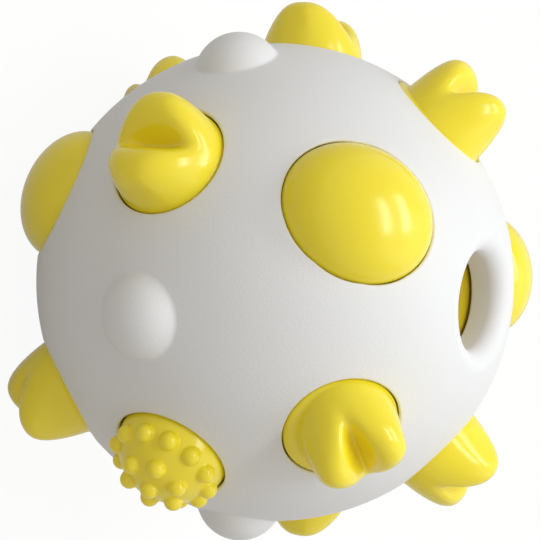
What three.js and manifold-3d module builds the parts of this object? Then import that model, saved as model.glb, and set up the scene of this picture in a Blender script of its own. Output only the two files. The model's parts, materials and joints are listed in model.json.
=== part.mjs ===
// Dog chew ball: a thick white ball in two halves with soft yellow push-in knobs around it, five
// moulded bumps on its belt, an open hole at each end and a soft hollow ball inside that backs the knobs.
// Millimetres. +Z runs through the two open holes, the origin is the middle of the ball.
import * as THREE from 'three';
import { mergeVertices } from 'three/addons/utils/BufferGeometryUtils.js';
import Module from 'manifold-3d';

const wasm = await Module();
wasm.setup();

// Ball and layout
const BALL_R = 40; // outside radius of the white ball
const WALL = 8; // thickness of the white ball
const COLUMNS = 5; // columns of knobs around the ball
const DOME_POLAR = 44.1; // angle from the axis to a ring's dome knobs, mirrored for the lower ring
const FORK_POLAR = 48.3; // angle from the axis to a ring's fork knobs
const FIRST_COLUMN = 36; // azimuth of the first column, half a column from the first bump

// Holes through the white ball
const KNOB_HOLE_R = 9.25; // mouth of a fork or stud knob's hole
const DOME_HOLE_LONG = 12.3; // half length of a dome knob's oval mouth, along the meridian
const DOME_HOLE_SHORT = 11.0; // half width of the oval mouth
const KNOB_LIP = 0.4; // rounding of a knob hole's edge
const END_HOLE_R = 7.7; // open hole at each end
const END_LIP = 2.8; // rounding of an open hole's edge
const RECESS_R = 11.5; // recess behind an open hole, for the inner ball's collar
const RECESS_WALL = 7.4; // from the ball's outside to the recess, along the axis
const RIB = 2.6; // ledge of a knob hole above the ball's inside
const SEAT_DEPTH = 0.5; // flat seat for a barb, cut into the ball's inside
const SEAT_EDGE = 0.8; // seat around the barb

// Push-in knobs
const HEAD_GAP = 0.3; // around a head in its hole
const NECK_GAP = 0.35; // around a neck in its rib
const SEAT_GAP = 0.3; // between a barb and its seat
const TRAVEL = 2.0; // how far a knob is pressed in
const STOP_GAP = 0.35; // left between head and rib at the end of the travel
const NECK_R = 6.2; // neck through the rib
const BARB_R = 7.8; // barb behind the rib
const BARB_TIP_R = 5.2; // front of the barb that is pushed in first
const BARB_EDGE = 0.9; // straight edge of the barb
const BARB_DEPTH = 2.2; // whole barb

const DOME_RISE = 5; // top of a dome knob above the ball
const FORK_SIDE = 1.5; // straight side of a fork's round base
const BASE_RISE = 1.7; // low dome of the base above its straight side
const GROOVE_RISE = 2.7; // bottom of a fork's groove above the ball
const GROOVE_WHOLE = 0.3; // share of the way to the base with the groove at its full depth
const GROOVE_END = 0.9; // share of the way to the base where the groove runs out
const RIDGE_EDGE = 0.1; // base left outside a fork's ridge where it is nearest
const RING_TIP_RISE = 8.1; // top of a ring fork's two tips above the ball
const RING_TIP_R = 2.8; // rounding of its tips
const RING_TIP_OUT = 4.25; // middle of a tip's rounding from the groove
const RING_LEAN = 0.85; // its ridge stands this much nearer to the end than its base
const RING_END_EDGE = 0.31; // base left outside its ridge at the ends of the groove
const RING_FULL = 2.5; // how full a tip stays along the groove before it falls to the base
const RING_SHARP = 0.77; // how straight that fall is
const BELT_TIP_RISE = 7.3; // the same sizes of the belt's broader forks
const BELT_TIP_R = 3;
const BELT_TIP_OUT = 5.2;
const BELT_FULL = 2.85;
const BELT_SHARP = 0.67;

const STUD_RISE = 5.3; // top of a stud knob's low dome above the ball
const STUD_R = 1.55; // one stud
const STUD_SINK = 0.1; // middle of a stud below the dome's surface
const STUD_RINGS = [[1, 0], [6, 4.25], [12, 7.35]]; // studs in each ring and the ring's radius

// Bumps moulded on the belt
const BUMP_BASE_R = 6.6; // where a bump meets the ball
const BUMP_HEIGHT = 3.7; // above the ball

// Inner ball
const CORE_GAP = 0.3; // to the knobs that it backs
const CORE_WALL = 4;
const CORE_HOLE_R = 4.5; // opening at each end
const COLLAR_GAP = 0.4; // around a collar in its recess

// Pegs that line the two halves up
const PEG_R = 1.7;
const PEG_LENGTH = 5;
const PEG_GAP = 0.2;
const PEG_ROOT = 2; // part of a peg inside its own half
const PEG_STEPS = 10;

// Fineness of the round forms
const BALL_STEPS = 32;
const INNER_STEPS = 20;
const CORE_STEPS = 20;
const HOLE_STEPS = 24;
const END_STEPS = 24;
const LIP_STEPS = 2;
const END_LIP_STEPS = 5;
const BASE_RINGS = 3;
const HEAD_STEPS = 24;
const HEAD_RINGS = 5;
const STEM_STEPS = 14;
const FORK_ROWS = 8;
const TIP_STEPS = 5;
const STUD_STEPS = 6;
const BUMP_STEPS = 16;

// Sizes that follow
const INSIDE_R = BALL_R - WALL;
const LEDGE = INSIDE_R + RIB;
const HEAD_BOTTOM = LEDGE + TRAVEL + STOP_GAP;
const SEAT_R = BARB_R + SEAT_EDGE;
const SEAT = Math.sqrt(INSIDE_R ** 2 - SEAT_R ** 2) + SEAT_DEPTH;
const BARB_TOP = SEAT - SEAT_GAP;
const BARB_BOTTOM = BARB_TOP - BARB_DEPTH;
const CORE_R = BARB_BOTTOM - CORE_GAP;
const DOME_TOP = BALL_R + DOME_RISE;
const GROOVE_FLOOR = BALL_R + GROOVE_RISE;
const STUD_TOP = BALL_R + STUD_RISE;
const RECESS_TOP = BALL_R - RECESS_WALL;
const FAR = 4 * BALL_R;
const RAD = Math.PI / 180;

const v2 = (r, h) => new THREE.Vector2(r, h);

// A closed body for the booleans: shared corners joined, triangles without an area left out.
function solid(geometry) {
  const bare = geometry.clone();
  bare.deleteAttribute('normal');
  bare.deleteAttribute('uv');
  const merged = mergeVertices(bare, 1e-4);
  const index = merged.index.array;
  const kept = [];
  for (let i = 0; i < index.length; i += 3) {
    const [a, b, c] = [index[i], index[i + 1], index[i + 2]];
    if (a !== b && b !== c && c !== a) {
      kept.push(a, b, c);
    }
  }
  return new wasm.Manifold(new wasm.Mesh({
    numProp: 3,
    vertProperties: new Float32Array(merged.attributes.position.array),
    triVerts: new Uint32Array(kept),
  }));
}

function toGeometry(body) {
  const mesh = body.getMesh();
  const geometry = new THREE.BufferGeometry();
  const points = new Float32Array(mesh.numVert * 3);
  for (let i = 0; i < mesh.numVert; i += 1) {
    for (let k = 0; k < 3; k += 1) {
      points[3 * i + k] = mesh.vertProperties[mesh.numProp * i + k];
    }
  }
  geometry.setAttribute('position', new THREE.BufferAttribute(points, 3));
  geometry.setIndex(new THREE.BufferAttribute(new Uint32Array(mesh.triVerts), 1));
  geometry.computeVertexNormals();
  return geometry;
}

// A body turned about the local Z axis, from a profile of (radius, height) points that starts and ends
// on the axis and runs upwards. With profileAt the profile may change with the angle around.
function turned(profileAt, steps) {
  const first = profileAt(0);
  const geometry = new THREE.LatheGeometry(first, steps);
  const position = geometry.attributes.position;
  for (let i = 0; i <= steps; i += 1) {
    const angle = (i % steps) * 2 * Math.PI / steps;
    profileAt(angle).forEach((p, j) => {
      position.setXYZ(i * first.length + j, p.x * Math.cos(angle), p.x * Math.sin(angle), p.y);
    });
  }
  return outward(geometry);
}

// Turns every triangle round if the body came out inside out.
function outward(geometry) {
  const p = geometry.attributes.position;
  const index = geometry.index.array;
  const [a, b, c] = [new THREE.Vector3(), new THREE.Vector3(), new THREE.Vector3()];
  let volume = 0;
  for (let i = 0; i < index.length; i += 3) {
    a.fromBufferAttribute(p, index[i]);
    b.fromBufferAttribute(p, index[i + 1]);
    c.fromBufferAttribute(p, index[i + 2]);
    volume += a.dot(b.cross(c));
  }
  if (volume < 0) {
    for (let i = 0; i < index.length; i += 3) {
      [index[i], index[i + 1]] = [index[i + 1], index[i]];
    }
  }
  return geometry;
}

const oval = (long, short) => (angle) => 1 / Math.hypot(Math.cos(angle) / long, Math.sin(angle) / short);
const round = (radius) => () => radius;

// The rounded mouth of a hole of this radius in the ball, as points from the hole's wall to the outside.
function mouth(radius, lip, steps) {
  const middle = v2(radius + lip, Math.sqrt((BALL_R - lip) ** 2 - (radius + lip) ** 2));
  const end = middle.angle();
  const points = [];
  for (let i = 0; i <= steps; i += 1) {
    const t = Math.PI + (end - Math.PI) * i / steps;
    points.push(v2(middle.x + lip * Math.cos(t), middle.y + lip * Math.sin(t)));
  }
  return points;
}

// What a knob's hole takes out of the ball: barb's seat, neck hole, ledge, wall and rounded mouth.
function knobHole(radiusAt) {
  return turned((angle) => {
    const edge = mouth(radiusAt(angle), KNOB_LIP, LIP_STEPS);
    const last = edge[edge.length - 1].clone().multiplyScalar(1.15);
    return [
      v2(0, INSIDE_R - WALL),
      v2(SEAT_R, INSIDE_R - WALL),
      v2(SEAT_R, SEAT),
      v2(NECK_R + NECK_GAP, SEAT),
      v2(NECK_R + NECK_GAP, LEDGE),
      v2(radiusAt(angle), LEDGE),
      ...edge,
      last,
      v2(0, last.y),
    ];
  }, HOLE_STEPS);
}

// An open hole with its thick round lip, and the recess behind it.
function endHole() {
  const edge = mouth(END_HOLE_R, END_LIP, END_LIP_STEPS);
  const last = edge[edge.length - 1].clone().multiplyScalar(1.15);
  const profile = [
    v2(0, INSIDE_R - WALL),
    v2(RECESS_R, INSIDE_R - WALL),
    v2(RECESS_R, RECESS_TOP),
    v2(END_HOLE_R, RECESS_TOP),
    ...edge,
    last,
    v2(0, last.y),
  ];
  return turned(() => profile, END_STEPS);
}

// Neck and barb, the same on every knob. The neck reaches a little into the head.
function stem() {
  const profile = [
    v2(0, BARB_BOTTOM),
    v2(BARB_TIP_R, BARB_BOTTOM),
    v2(BARB_R, BARB_TOP - BARB_EDGE),
    v2(BARB_R, BARB_TOP),
    v2(NECK_R, BARB_TOP),
    v2(NECK_R, HEAD_BOTTOM + STOP_GAP),
    v2(0, HEAD_BOTTOM + STOP_GAP),
  ];
  return turned(() => profile, STEM_STEPS);
}

// A head with an elliptic crown from its bottom to its top.
function crown(radiusAt, top) {
  return turned((angle) => {
    const points = [v2(0, HEAD_BOTTOM)];
    for (let i = 0; i <= HEAD_RINGS; i += 1) {
      const t = (Math.PI / 2) * i / HEAD_RINGS;
      const r = i === HEAD_RINGS ? 0 : radiusAt(angle) * Math.cos(t);
      points.push(v2(r, HEAD_BOTTOM + (top - HEAD_BOTTOM) * Math.sin(t)));
    }
    return points;
  }, HEAD_STEPS);
}

function domeHead() {
  return solid(crown(oval(DOME_HOLE_LONG - HEAD_GAP, DOME_HOLE_SHORT - HEAD_GAP), DOME_TOP));
}

function studHead() {
  const radius = KNOB_HOLE_R - HEAD_GAP;
  const rise = STUD_TOP - HEAD_BOTTOM;
  let head = solid(crown(round(radius), STUD_TOP));
  for (const [count, ring] of STUD_RINGS) {
    for (let i = 0; i < count; i += 1) {
      const angle = i * 2 * Math.PI / count;
      const height = HEAD_BOTTOM + rise * Math.sqrt(1 - (ring / radius) ** 2);
      const normal = new THREE.Vector3(
        Math.cos(angle) * ring / radius ** 2,
        Math.sin(angle) * ring / radius ** 2,
        (height - HEAD_BOTTOM) / rise ** 2,
      ).normalize();
      const stud = new THREE.SphereGeometry(STUD_R, STUD_STEPS, STUD_STEPS - 2);
      stud.rotateX(Math.PI / 2);
      stud.applyQuaternion(new THREE.Quaternion().setFromUnitVectors(new THREE.Vector3(0, 0, 1), normal));
      stud.translate(ring * Math.cos(angle), ring * Math.sin(angle), height);
      stud.translate(-normal.x * STUD_SINK, -normal.y * STUD_SINK, -normal.z * STUD_SINK);
      head = head.add(solid(stud));
    }
  }
  return head;
}

// The ridges of the two forks. Across the middle of its groove a ridge has a straight groove side, a round
// tip and a straight flank down to its foot.
const FORK_R = KNOB_HOLE_R - HEAD_GAP;
const FORK_RIM = HEAD_BOTTOM + FORK_SIDE;
const RIDGE_FOOT = HEAD_BOTTOM + FORK_SIDE / 2;

function ridgeForm(width, length, rise, tip, out, full, sharp) {
  const middle = v2(out, BALL_R + rise - tip);
  const touch = (from, side) => {
    const away = from.clone().sub(middle);
    const angle = away.angle() + side * Math.acos(tip / away.length());
    return v2(middle.x + tip * Math.cos(angle), middle.y + tip * Math.sin(angle));
  };
  const flank = touch(v2(width, FORK_RIM), 1);
  const groove = touch(v2(0, GROOVE_FLOOR), -1);
  return { width, length, tip, middle, flank, groove, full, sharp, top: BALL_R + rise };
}
const RING_R = FORK_R - RING_LEAN - RIDGE_EDGE;
const BELT_R = FORK_R - RIDGE_EDGE;
const RING_RIDGE = ridgeForm(
  RING_R, FORK_R - RING_END_EDGE, RING_TIP_RISE, RING_TIP_R, RING_TIP_OUT, RING_FULL, RING_SHARP,
);
const BELT_RIDGE = ridgeForm(
  BELT_R, BELT_R, BELT_TIP_RISE, BELT_TIP_R, BELT_TIP_OUT, BELT_FULL, BELT_SHARP,
);

function acrossHeight(form, x) {
  const r = Math.abs(x);
  if (r < form.groove.x) {
    return THREE.MathUtils.mapLinear(r, 0, form.groove.x, GROOVE_FLOOR, form.groove.y);
  }
  if (r > form.flank.x) {
    return THREE.MathUtils.mapLinear(r, form.flank.x, form.width, form.flank.y, FORK_RIM);
  }
  return form.middle.y + Math.sqrt(form.tip ** 2 - (r - form.middle.x) ** 2);
}

// Height of a ridge at a place across and at a share of the way along its groove to the base.
function ridgeHeight(form, x, along) {
  const whole = Math.abs(x) < form.middle.x ? form.top : acrossHeight(form, x);
  const fill = THREE.MathUtils.smoothstep(Math.abs(along), GROOVE_WHOLE, GROOVE_END);
  const top = THREE.MathUtils.lerp(acrossHeight(form, x), whole, fill);
  return FORK_RIM + (top - FORK_RIM) * Math.max(0, 1 - Math.abs(along) ** form.full) ** form.sharp;
}

// Places across a ridge, from one flank over its groove to the other.
function placesAcross(form) {
  const places = [0];
  for (let i = 0; i <= TIP_STEPS; i += 1) {
    const share = (1 - Math.cos(i / TIP_STEPS * Math.PI)) / 2;
    places.push(THREE.MathUtils.lerp(form.groove.x, form.flank.x, share));
  }
  places.push((form.flank.x + form.width) / 2);
  return [...places.slice(1).reverse().map((x) => -x), ...places];
}

function forkBase() {
  const profile = [v2(0, HEAD_BOTTOM), v2(FORK_R, HEAD_BOTTOM)];
  for (let i = 0; i <= BASE_RINGS; i += 1) {
    const t = (Math.PI / 2) * i / BASE_RINGS;
    profile.push(v2(i === BASE_RINGS ? 0 : FORK_R * Math.cos(t), FORK_RIM + BASE_RISE * Math.sin(t)));
  }
  return solid(turned(() => profile, HEAD_STEPS));
}

function ridge(form) {
  const points = [];
  const index = [];
  const columns = placesAcross(form).map((x) => {
    const chord = form.length * Math.sqrt(1 - (x / form.width) ** 2);
    const column = [];
    for (let j = 0; j <= FORK_ROWS; j += 1) {
      const t = -Math.cos(j / FORK_ROWS * Math.PI);
      column.push(points.push(x, chord * t, ridgeHeight(form, x, t)) / 3 - 1);
    }
    return column;
  });
  const ends = [-form.width, form.width].map((x) => points.push(x, 0, FORK_RIM) / 3 - 1);
  const final = columns.length - 1;
  for (let i = 0; i < final; i += 1) {
    for (let j = 0; j < FORK_ROWS; j += 1) {
      const [a, b, c, d] = [columns[i][j], columns[i + 1][j], columns[i + 1][j + 1], columns[i][j + 1]];
      index.push(...((i < final / 2) === (j < FORK_ROWS / 2) ? [a, b, d, b, c, d] : [a, b, c, a, c, d]));
    }
  }
  for (let j = 0; j < FORK_ROWS; j += 1) {
    index.push(ends[0], columns[0][j], columns[0][j + 1]);
    index.push(ends[1], columns[final][j + 1], columns[final][j]);
  }
  const front = columns.map((column) => column[0]);
  const back = columns.map((column) => column[FORK_ROWS]);
  const rim = [ends[0], ...front, ends[1], ...back.reverse()];
  const foot = rim.map((k) => points.push(points[3 * k], points[3 * k + 1], RIDGE_FOOT) / 3 - 1);
  const centre = points.push(0, 0, RIDGE_FOOT) / 3 - 1;
  rim.forEach((k, i) => {
    const next = (i + 1) % rim.length;
    index.push(k, foot[i], foot[next], k, foot[next], rim[next], centre, foot[next], foot[i]);
  });
  const geometry = new THREE.BufferGeometry();
  geometry.setAttribute('position', new THREE.Float32BufferAttribute(points, 3));
  geometry.setIndex(index);
  return solid(outward(geometry));
}

// The ridge on its base, with the groove along Y. On the rings it leans along X towards the near end.
function forkHead(side) {
  return forkBase().add(ridge(side === 0 ? BELT_RIDGE : RING_RIDGE).translate([side * RING_LEAN, 0, 0]));
}

// Stands a body that was made along Z on the ball, with its local X towards the upper end.
function placing(polar, azimuth) {
  const [p, a] = [polar * RAD, azimuth * RAD];
  const out = new THREE.Vector3(Math.sin(p) * Math.cos(a), Math.sin(p) * Math.sin(a), Math.cos(p));
  const around = new THREE.Vector3(-Math.sin(a), Math.cos(a), 0);
  const along = new THREE.Vector3().crossVectors(out, around);
  return new THREE.Matrix4().makeBasis(along, around.negate(), out);
}

const KIND = { DOME: 'dome', FORK: 'fork', STUD: 'stud' };
const RING_KINDS = [KIND.FORK, KIND.FORK, KIND.DOME, KIND.FORK, KIND.DOME];
const BELT_KINDS = [KIND.STUD, KIND.FORK, KIND.STUD, KIND.FORK, KIND.FORK];
const RINGS = [
  { name: 'upper', side: 1, turn: 0, kinds: RING_KINDS },
  { name: 'belt', side: 0, turn: 90, kinds: BELT_KINDS },
  { name: 'lower', side: -1, turn: 0, kinds: RING_KINDS },
];

function polarOf(side, kind) {
  return 90 - side * (90 - (kind === KIND.DOME ? DOME_POLAR : FORK_POLAR));
}

const knobs = RINGS.flatMap((ring) => ring.kinds.map((kind, i) => ({
  name: `${kind}_knob_${ring.name}_${i + 1}`,
  kind,
  side: ring.side,
  turn: kind === KIND.FORK ? ring.turn : 0,
  place: placing(polarOf(ring.side, kind), FIRST_COLUMN + i * 360 / COLUMNS),
})));

const white = { color: 0xe9e8e6, roughness: 0.62, metalness: 0 };
const yellow = { color: 0xf2dc1e, roughness: 0.3, metalness: 0 };

const part = new THREE.Group();
part.name = 'dog_chew_ball';

function addPiece(name, body, finish) {
  const mesh = new THREE.Mesh(toGeometry(body), new THREE.MeshStandardMaterial(finish));
  mesh.name = name;
  part.add(mesh);
}

// White ball with its bumps, hollow and holes, before it is parted into halves
const bumpFoot = Math.sqrt(BALL_R ** 2 - BUMP_BASE_R ** 2);
const bumpCap = BALL_R + BUMP_HEIGHT - bumpFoot;
const bumpR = (BUMP_BASE_R ** 2 + bumpCap ** 2) / (2 * bumpCap);
const bumpMiddle = BALL_R + BUMP_HEIGHT - bumpR;

const ballForm = new THREE.SphereGeometry(BALL_R, BALL_STEPS, BALL_STEPS / 2);
ballForm.rotateX(Math.PI / 2);
let ball = solid(ballForm);
for (let i = 0; i < COLUMNS; i += 1) {
  const bump = new THREE.SphereGeometry(bumpR, BUMP_STEPS, BUMP_STEPS / 2);
  bump.rotateX(Math.PI / 2);
  bump.translate(0, 0, bumpMiddle);
  bump.applyMatrix4(placing(90, i * 360 / COLUMNS));
  ball = ball.add(solid(bump));
}
const hollow = new THREE.SphereGeometry(INSIDE_R, INNER_STEPS, INNER_STEPS / 2);
hollow.rotateX(Math.PI / 2);
ball = ball.subtract(solid(hollow));

const roundHole = knobHole(round(KNOB_HOLE_R));
const ovalHole = knobHole(oval(DOME_HOLE_LONG, DOME_HOLE_SHORT));
for (const knob of knobs) {
  const cut = (knob.kind === KIND.DOME ? ovalHole : roundHole).clone();
  ball = ball.subtract(solid(cut.applyMatrix4(knob.place)));
}
for (const polar of [0, 180]) {
  ball = ball.subtract(solid(endHole().applyMatrix4(placing(polar, 0))));
}

const upperRoom = new THREE.BoxGeometry(FAR, FAR, FAR);
upperRoom.translate(0, 0, FAR / 2);
const lowerRoom = new THREE.BoxGeometry(FAR, FAR, FAR);
lowerRoom.translate(0, 0, -FAR / 2);
let upperHalf = ball.intersect(solid(upperRoom));
let lowerHalf = ball.intersect(solid(lowerRoom));

function peg(radius, bottom, top, azimuth) {
  const form = new THREE.CylinderGeometry(radius, radius, top - bottom, PEG_STEPS);
  form.rotateX(Math.PI / 2);
  form.translate(INSIDE_R + WALL / 2, 0, (top + bottom) / 2);
  form.rotateZ(azimuth * RAD);
  return solid(form);
}
for (let i = 0; i < COLUMNS; i += 1) {
  const azimuth = i * 360 / COLUMNS;
  upperHalf = upperHalf.add(peg(PEG_R, -PEG_LENGTH, PEG_ROOT, azimuth));
  lowerHalf = lowerHalf.subtract(peg(PEG_R + PEG_GAP, -PEG_LENGTH - PEG_GAP, PEG_ROOT, azimuth));
}
addPiece('shell_half_upper', upperHalf, white);
addPiece('shell_half_lower', lowerHalf, white);

// Knobs
const heads = { [KIND.DOME]: domeHead, [KIND.FORK]: forkHead, [KIND.STUD]: studHead };
const stemBody = solid(stem());
for (const knob of knobs) {
  const geometry = toGeometry(heads[knob.kind](knob.side).add(stemBody));
  geometry.rotateZ(knob.turn * RAD);
  geometry.applyMatrix4(knob.place);
  const mesh = new THREE.Mesh(geometry, new THREE.MeshStandardMaterial(yellow));
  mesh.name = knob.name;
  part.add(mesh);
}

// Soft hollow ball inside, with a collar at each end that stands in the recess
const coreForm = new THREE.SphereGeometry(CORE_R, CORE_STEPS, CORE_STEPS / 2);
coreForm.rotateX(Math.PI / 2);
const coreHollow = new THREE.SphereGeometry(CORE_R - CORE_WALL, CORE_STEPS, CORE_STEPS / 2);
coreHollow.rotateX(Math.PI / 2);
const collarR = RECESS_R - COLLAR_GAP;
const collarTop = RECESS_TOP - COLLAR_GAP;
const collars = new THREE.CylinderGeometry(collarR, collarR, 2 * collarTop, END_STEPS);
collars.rotateX(Math.PI / 2);
const coreHoles = new THREE.CylinderGeometry(CORE_HOLE_R, CORE_HOLE_R, FAR, STEM_STEPS);
coreHoles.rotateX(Math.PI / 2);
const core = solid(coreForm).add(solid(collars)).subtract(solid(coreHollow)).subtract(solid(coreHoles));
addPiece('inner_ball', core, yellow);

export default part;
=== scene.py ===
"""Dog chew ball: a white ball in two halves, soft yellow push-in knobs and a soft hollow ball inside.

Metres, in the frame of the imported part: +Z runs through the two open holes, the middle is the origin.
"""

import json
import logging
import math
from dataclasses import dataclass, field
from enum import Enum
from typing import Any, Callable, Optional, Sequence, Union

import bpy
from mathutils import Matrix, Vector


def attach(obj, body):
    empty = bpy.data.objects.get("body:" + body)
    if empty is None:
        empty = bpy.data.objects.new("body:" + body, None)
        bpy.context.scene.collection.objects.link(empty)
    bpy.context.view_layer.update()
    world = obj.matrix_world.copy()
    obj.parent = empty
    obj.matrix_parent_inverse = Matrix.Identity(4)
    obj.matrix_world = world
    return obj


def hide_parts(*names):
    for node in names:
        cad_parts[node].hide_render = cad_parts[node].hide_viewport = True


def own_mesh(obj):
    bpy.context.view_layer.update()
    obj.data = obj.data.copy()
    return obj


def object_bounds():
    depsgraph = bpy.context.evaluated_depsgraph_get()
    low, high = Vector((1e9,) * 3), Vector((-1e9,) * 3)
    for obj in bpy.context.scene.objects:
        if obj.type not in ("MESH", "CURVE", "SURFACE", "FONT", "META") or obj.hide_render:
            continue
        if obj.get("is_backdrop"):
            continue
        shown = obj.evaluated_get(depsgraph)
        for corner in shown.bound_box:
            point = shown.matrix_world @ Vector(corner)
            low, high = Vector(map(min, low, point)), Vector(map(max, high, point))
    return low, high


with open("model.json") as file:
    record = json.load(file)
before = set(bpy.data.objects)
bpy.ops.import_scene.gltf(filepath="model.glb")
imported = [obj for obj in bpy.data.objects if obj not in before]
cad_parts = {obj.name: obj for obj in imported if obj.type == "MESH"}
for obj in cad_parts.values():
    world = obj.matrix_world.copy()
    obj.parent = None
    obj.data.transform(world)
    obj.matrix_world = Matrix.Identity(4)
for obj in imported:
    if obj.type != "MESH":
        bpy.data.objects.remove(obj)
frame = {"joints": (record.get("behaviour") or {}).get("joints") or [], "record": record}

LOG = logging.getLogger("chew_ball")
MM = 0.001
WELD = 2e-7
BELT_BAND = 0.1
Piece = bpy.types.Object
Point = tuple[float, float]
Colour = tuple[float, float, float]
Number = Union["Value", float]


class KnobKind(Enum):
    """The three designs of knob, by the first word of a node's name."""

    DOME = "dome"
    FORK = "fork"
    STUD = "stud"


class Slot(Enum):
    """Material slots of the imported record."""

    SHELL = "shell_white"
    KNOB = "knob_yellow"
    INNER = "inner_yellow"


class Value:
    """A socket of a shader graph that takes part in Python expressions."""

    def __init__(self, graph: "Graph", socket: bpy.types.NodeSocket) -> None:
        """Keep the socket and its graph.

        Args:
            graph: The graph that new Math nodes go into.
            socket: The output that this value stands for.
        """
        self.graph = graph
        self.socket = socket

    def _math(self, operation: str, left: Number, right: Number) -> "Value":
        """Add one Math node.

        Args:
            operation: The node's operation.
            left: First operand.
            right: Second operand.

        Returns:
            The node's result.
        """
        return self.graph.node("ShaderNodeMath", {"operation": operation}, {0: left, 1: right})

    def __add__(self, other: Number) -> "Value":
        """Sum."""
        return self._math("ADD", self, other)

    def __radd__(self, other: Number) -> "Value":
        """Sum with a number on the left."""
        return self._math("ADD", other, self)

    def __sub__(self, other: Number) -> "Value":
        """Difference."""
        return self._math("SUBTRACT", self, other)

    def __rsub__(self, other: Number) -> "Value":
        """Difference from a number on the left."""
        return self._math("SUBTRACT", other, self)

    def __mul__(self, other: Number) -> "Value":
        """Product."""
        return self._math("MULTIPLY", self, other)

    def __rmul__(self, other: Number) -> "Value":
        """Product with a number on the left."""
        return self._math("MULTIPLY", other, self)

    def larger(self, other: Number) -> "Value":
        """The larger of two values."""
        return self._math("MAXIMUM", self, other)


class Graph:
    """The nodes of one material, or of the world."""

    def __init__(self, tree: bpy.types.NodeTree) -> None:
        """Start with an empty tree."""
        self.tree = tree
        tree.nodes.clear()

    @classmethod
    def material(cls, name: str) -> tuple["Graph", bpy.types.Material]:
        """Make a new material and its empty graph.

        Args:
            name: The material's name.

        Returns:
            The graph and the material.
        """
        made = bpy.data.materials.new(name)
        made.use_nodes = True
        return cls(made.node_tree), made

    def node(
        self,
        kind: str,
        settings: Optional[dict[str, Any]] = None,
        inputs: Optional[dict[Union[int, str], Any]] = None,
        output: Union[int, str] = 0,
    ) -> Value:
        """Add a node of any kind.

        Args:
            kind: The node's type.
            settings: Its settings, which are set first.
            inputs: Values or links for its sockets, by name or number.
            output: The output that is wanted.

        Returns:
            That output.
        """
        made = self.tree.nodes.new(kind)
        for key, setting in (settings or {}).items():
            setattr(made, key, setting)
        for key, given in (inputs or {}).items():
            if isinstance(given, Value):
                self.tree.links.new(given.socket, made.inputs[key])
            else:
                made.inputs[key].default_value = given
        return Value(self, made.outputs[output]) if made.outputs else Value(self, made.inputs[0])

    def noise(self, at: Value, size: float, detail: float = 2.0) -> Value:
        """Add a noise whose lumps are about this wide.

        Args:
            at: Coordinates.
            size: Width of a lump in metres.
            detail: Octaves of finer noise.

        Returns:
            The noise, from 0 to 1.
        """
        inputs = {"Vector": at, "Scale": 1.0 / size, "Detail": detail}
        return self.node("ShaderNodeTexNoise", None, inputs)

    def bump(self, height: Value, relief: float, strength: float) -> Value:
        """Add the bump of a pattern.

        Args:
            height: The pattern, from 0 to 1.
            relief: How deep it is, in metres.
            strength: How much of it shows.

        Returns:
            The bumped normal.
        """
        inputs = {"Strength": strength, "Distance": relief, "Height": height}
        return self.node("ShaderNodeBump", None, inputs)

    def light_path(self, ray: str) -> Value:
        """Ask whether a ray is of one kind.

        Args:
            ray: The kind, as the Light Path node names it.

        Returns:
            1 for such a ray, else 0.
        """
        return self.node("ShaderNodeLightPath", output=ray)

    def mix(self, share: Number, first: Colour, second: Colour) -> Value:
        """Mix two colours.

        Args:
            share: Share of the second colour.
            first: First colour, linear.
            second: Second colour, linear.

        Returns:
            The mixed colour.
        """
        settings = {"data_type": "RGBA", "clamp_factor": True}
        return self.node("ShaderNodeMix", settings, {0: share, 6: (*first, 1.0), 7: (*second, 1.0)}, 2)

    def surface(self, shader: Value) -> None:
        """Make a shader the material's surface."""
        self.node("ShaderNodeOutputMaterial", None, {"Surface": shader})


@dataclass(frozen=True)
class SandedPlastic:
    """White moulded plastic with the fine sand grain of a blasted mould."""

    name: str = "white_sanded_plastic"
    pale: Colour = (0.836, 0.841, 0.853)
    dull: Colour = (0.792, 0.793, 0.795)
    cloud: float = 16.0 * MM
    grain: float = 0.42 * MM
    fine_grain: float = 0.2 * MM
    grain_share: float = 0.6
    fine_share: float = 0.4
    cloud_tint: float = 0.7
    sand_tint: float = 0.45
    tint_start: float = 0.1
    relief: float = 0.065 * MM
    relief_strength: float = 0.8
    roughness: float = 0.52
    roughness_swing: float = 0.16
    gloss: float = 0.4

    def make(self) -> bpy.types.Material:
        """Build the material.

        Returns:
            A material on Object coordinates.
        """
        graph, made = Graph.material(self.name)
        at = graph.node("ShaderNodeTexCoord", output="Object")
        clouds = graph.noise(at, self.cloud, 3.0)
        grain = graph.noise(at, self.grain, 2.0)
        fine = graph.noise(at, self.fine_grain, 1.0)
        sand = grain * self.grain_share + fine * self.fine_share
        tint = clouds * self.cloud_tint + sand * self.sand_tint - self.tint_start
        colour = graph.mix(tint, self.dull, self.pale)
        rough = self.roughness + (sand - 0.5) * self.roughness_swing
        bump = graph.bump(sand, self.relief, self.relief_strength)
        inputs = {"Base Color": colour, "Roughness": rough, "Normal": bump}
        inputs["Specular IOR Level"] = self.gloss
        graph.surface(graph.node("ShaderNodeBsdfPrincipled", None, inputs))
        return made


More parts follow.
